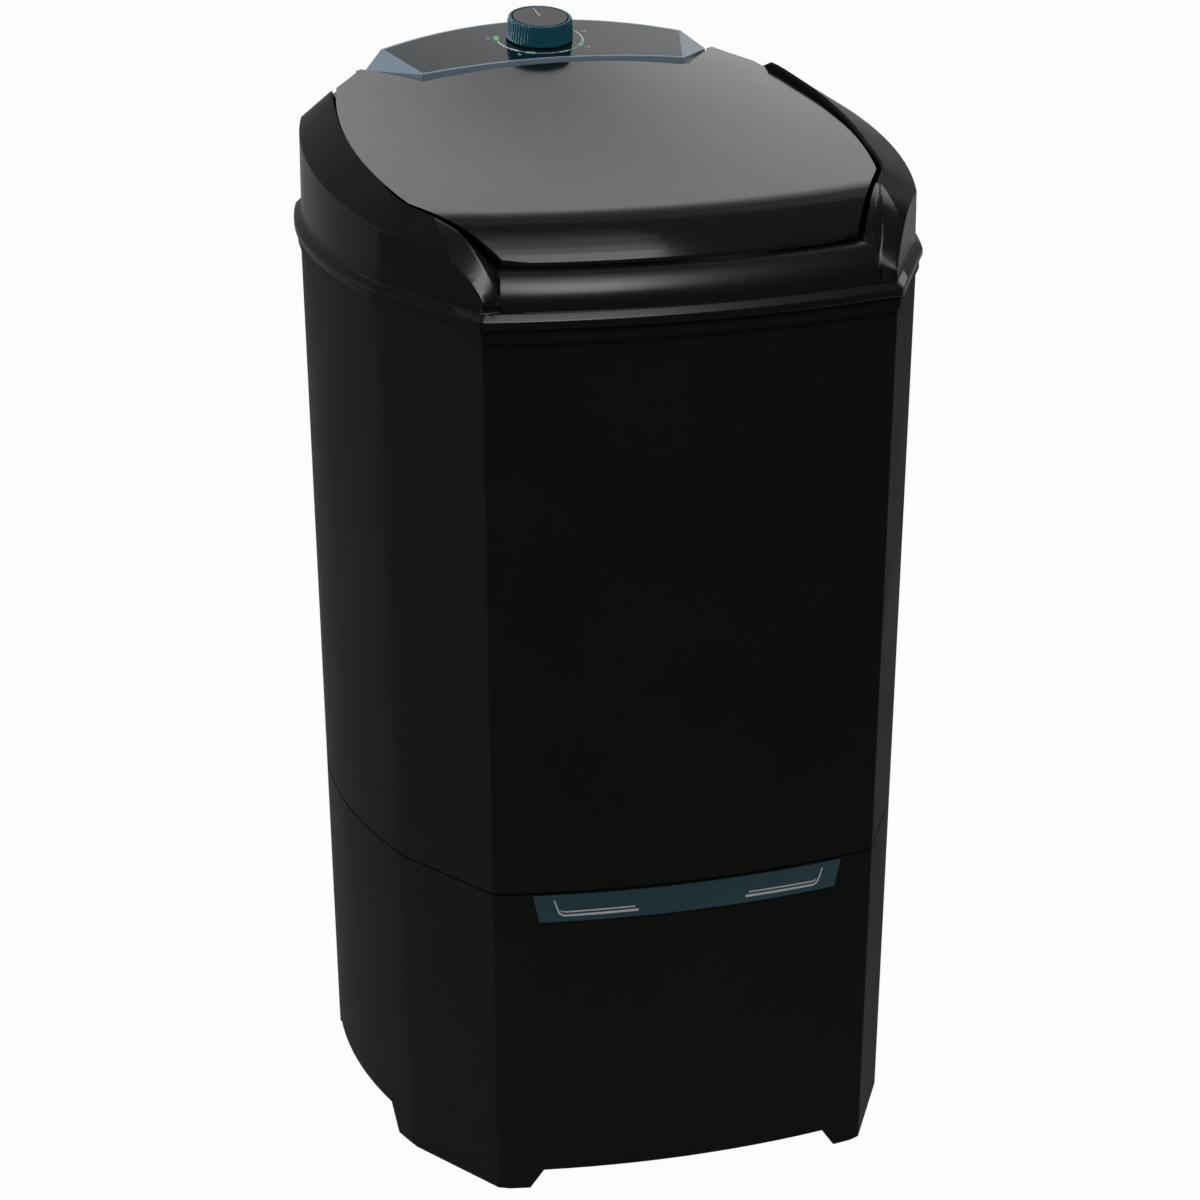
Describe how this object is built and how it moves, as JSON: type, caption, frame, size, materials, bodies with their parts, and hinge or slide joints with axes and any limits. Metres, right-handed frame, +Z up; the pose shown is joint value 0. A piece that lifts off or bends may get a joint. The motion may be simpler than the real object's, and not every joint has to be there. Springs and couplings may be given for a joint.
{
  "type": "semi-automatic washing machine",
  "caption": "Compact top-loading semi-automatic washing machine: drafted octagonal body, hinged lid, rear timer dial, tub with a belt-driven pulsator.",
  "frame": {"origin": "middle of the plan at floor level", "axes": "+Z up, +X to the right seen from the front, the front faces -Y"},
  "size_m": [0.4738, 0.5178, 0.8506],
  "materials": {
    "body_plastic": "fine satin texture",
    "frame_plastic": "semi-gloss",
    "lid_plastic": "high gloss",
    "face_plastic": "gloss film",
    "knob_plastic": "semi-gloss, fluted",
    "cap_plastic": "satin",
    "trim_plastic": "gloss with thin bright lines",
    "tub_plastic": "satin",
    "pulsator_plastic": "satin",
    "steel": "turned",
    "soft_rubber": "matte",
    "bronze": "sintered",
    "alloy": "cast",
    "coated_steel": "powder coat",
    "pale_plastic": "satin"
  },
  "bodies": {
    "housing": {"base_shell": "body_plastic", "cabinet_shell": "body_plastic", "bottom_cover": "body_plastic", "top_frame": "frame_plastic", "console_housing": "frame_plastic", "console_faceplate": "face_plastic", "front_trim": "trim_plastic", "wash_tub": "tub_plastic", "filter_guide": "tub_plastic", "hinge_pins": "steel", "timer_screws": "steel", "motor_bolts": "steel", "bearing_bolts": "steel", "chassis_bolts": "steel", "cover_screws": "steel", "capacitor_clip": "steel", "foot_pads": "soft_rubber", "tub_rim_seal": "soft_rubber", "shaft_seal": "soft_rubber", "drain_seal": "soft_rubber", "motor_grommets": "soft_rubber", "drive_belt": "soft_rubber", "cable_gland": "soft_rubber", "shaft_bushes": "bronze", "bearing_housing": "alloy", "motor_housing": "coated_steel", "chassis_plate": "coated_steel", "timer_body": "pale_plastic", "capacitor": "pale_plastic", "drain_outlet": "pale_plastic"},
    "lid": {"lid": "lid_plastic"},
    "dial": {"timer_knob": "knob_plastic", "knob_cap": "cap_plastic", "timer_shaft": "steel"},
    "agitator": {"pulsator": "pulsator_plastic", "pulsator_bolt": "steel", "drive_shaft": "steel", "driven_pulley": "alloy", "pulley_nut": "steel"},
    "rotor": {"motor_shaft": "steel", "motor_pulley": "alloy"},
    "filter": {"lint_filter": "pulsator_plastic"}
  },
  "joints": [
    {"name": "lid_hinge", "type": "hinge", "parent": "housing", "child": "lid", "pos_m": [0, 0.187, 0.806], "axis": [-1, 0, 0], "range_deg": [0, 98]},
    {"name": "timer_dial", "type": "hinge", "parent": "housing", "child": "dial", "pos_m": [0, 0.182, 0.82854], "axis": [0, -0.1513, 0.9885], "continuous": true},
    {"name": "agitator_spin", "type": "hinge", "parent": "housing", "child": "agitator", "pos_m": [0, 0, 0.32], "axis": [0, 0, 1], "continuous": true},
    {"name": "rotor_spin", "type": "hinge", "parent": "housing", "child": "rotor", "pos_m": [0, 0.15, 0.2], "axis": [0, 0, 1], "continuous": true},
    {"name": "filter_slide", "type": "slide", "parent": "housing", "child": "filter", "axis": [0, 0, 1], "range_m": [0, 0.1]}
  ],
  "couplings": [
    {"joint": "rotor_spin", "follows": "agitator_spin", "ratio": 4.2083}
  ]
}
